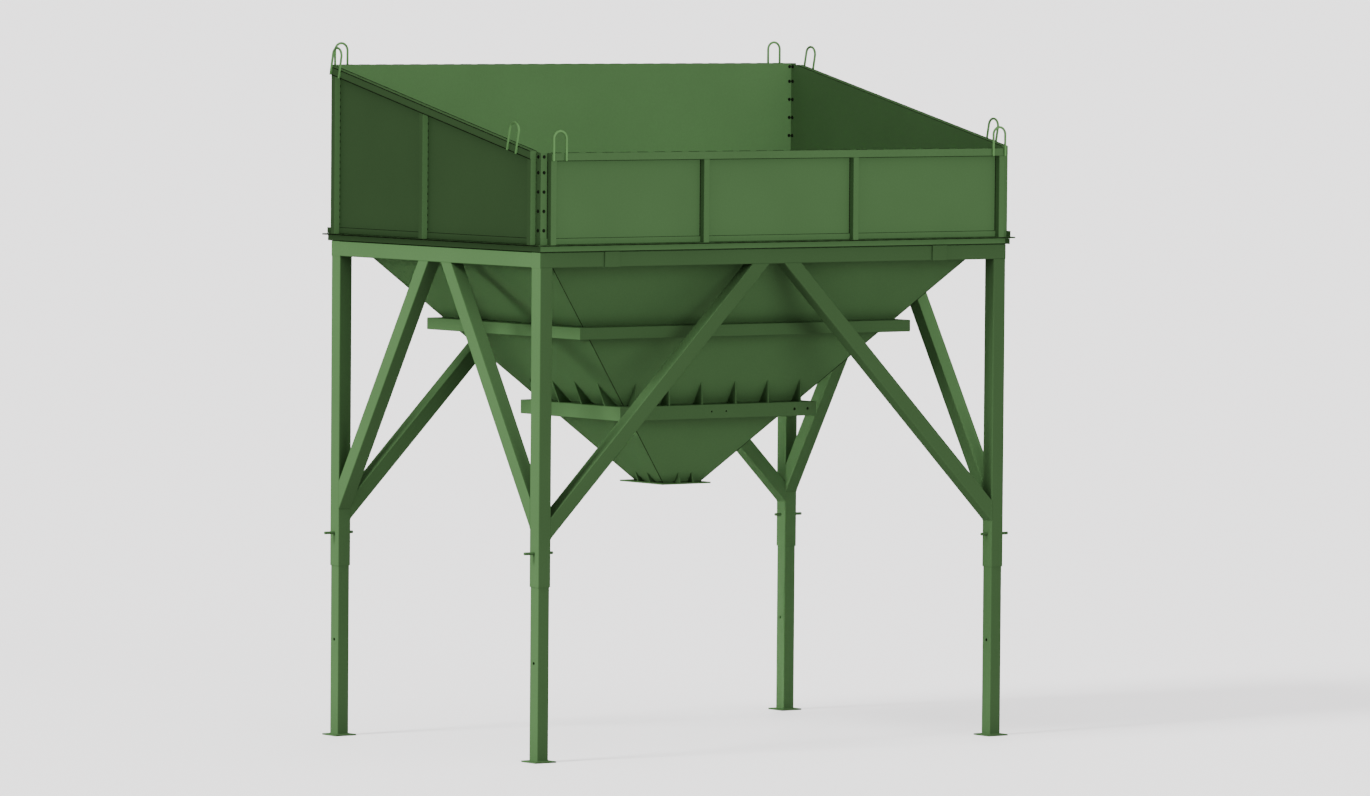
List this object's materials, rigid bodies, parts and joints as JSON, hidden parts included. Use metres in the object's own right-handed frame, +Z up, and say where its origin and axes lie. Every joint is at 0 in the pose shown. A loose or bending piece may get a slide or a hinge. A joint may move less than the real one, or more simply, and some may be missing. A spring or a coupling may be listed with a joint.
{
  "type": "receiving hopper",
  "caption": "Open-topped receiving hopper: a sheet bin over an inverted pyramid with a flanged outlet, on a braced frame with telescopic pinned legs.",
  "frame": {"origin": "on the ground, under the middle of the frame", "axes": "+Z up; +X along the low front wall, to the right as seen from the front; +Y towards the high rear wall"},
  "size_m": [3.994, 2.5326, 4.635],
  "materials": {
    "frame_paint": "matte green paint on steel",
    "inner_leg_paint": "matte green paint on steel",
    "pin_paint": "matte green paint on steel",
    "brace_paint": "matte green paint on steel",
    "seat_plate_paint": "matte green paint on steel",
    "hopper_paint": "matte green paint on steel",
    "ring_paint": "matte green paint on steel",
    "outlet_paint": "matte green paint on steel",
    "bin_paint": "matte green paint on steel",
    "corner_paint": "matte green paint on steel",
    "loop_paint": "lighter green paint on round steel bar"
  },
  "bodies": {
    "root": {"leg_sleeve_front_left": "frame_paint", "leg_sleeve_front_right": "frame_paint", "leg_sleeve_rear_left": "frame_paint", "leg_sleeve_rear_right": "frame_paint", "leg_inner_front_left": "inner_leg_paint", "leg_inner_front_right": "inner_leg_paint", "leg_inner_rear_left": "inner_leg_paint", "leg_inner_rear_right": "inner_leg_paint", "leg_pin_front_left": "pin_paint", "leg_pin_front_right": "pin_paint", "leg_pin_rear_left": "pin_paint", "leg_pin_rear_right": "pin_paint", "frame_beam_front": "frame_paint", "frame_beam_rear": "frame_paint", "frame_beam_left": "frame_paint", "frame_beam_right": "frame_paint", "brace_along_front_left": "brace_paint", "brace_across_front_left": "brace_paint", "brace_along_front_right": "brace_paint", "brace_across_front_right": "brace_paint", "brace_along_rear_left": "brace_paint", "brace_across_rear_left": "brace_paint", "brace_along_rear_right": "brace_paint", "brace_across_rear_right": "brace_paint", "seat_plate_left": "seat_plate_paint", "seat_plate_right": "seat_plate_paint", "hopper_front": "hopper_paint", "hopper_rear": "hopper_paint", "hopper_left": "hopper_paint", "hopper_right": "hopper_paint", "upper_ring_front": "ring_paint", "upper_ring_rear": "ring_paint", "upper_ring_left": "ring_paint", "upper_ring_right": "ring_paint", "lower_ring_front": "ring_paint", "lower_ring_rear": "ring_paint", "lower_ring_left": "ring_paint", "lower_ring_right": "ring_paint", "outlet_flange": "outlet_paint", "wall_front": "bin_paint", "wall_rear": "bin_paint", "wall_left": "bin_paint", "wall_right": "bin_paint", "corner_angle_front_left": "corner_paint", "corner_angle_front_right": "corner_paint", "corner_angle_rear_left": "corner_paint", "corner_angle_rear_right": "corner_paint", "lifting_loop_front_left": "loop_paint", "lifting_loop_front_right": "loop_paint", "lifting_loop_rear_left": "loop_paint", "lifting_loop_rear_right": "loop_paint", "lifting_loop_left_front": "loop_paint", "lifting_loop_left_rear": "loop_paint", "lifting_loop_right_front": "loop_paint", "lifting_loop_right_rear": "loop_paint"}
  },
  "joints": []
}
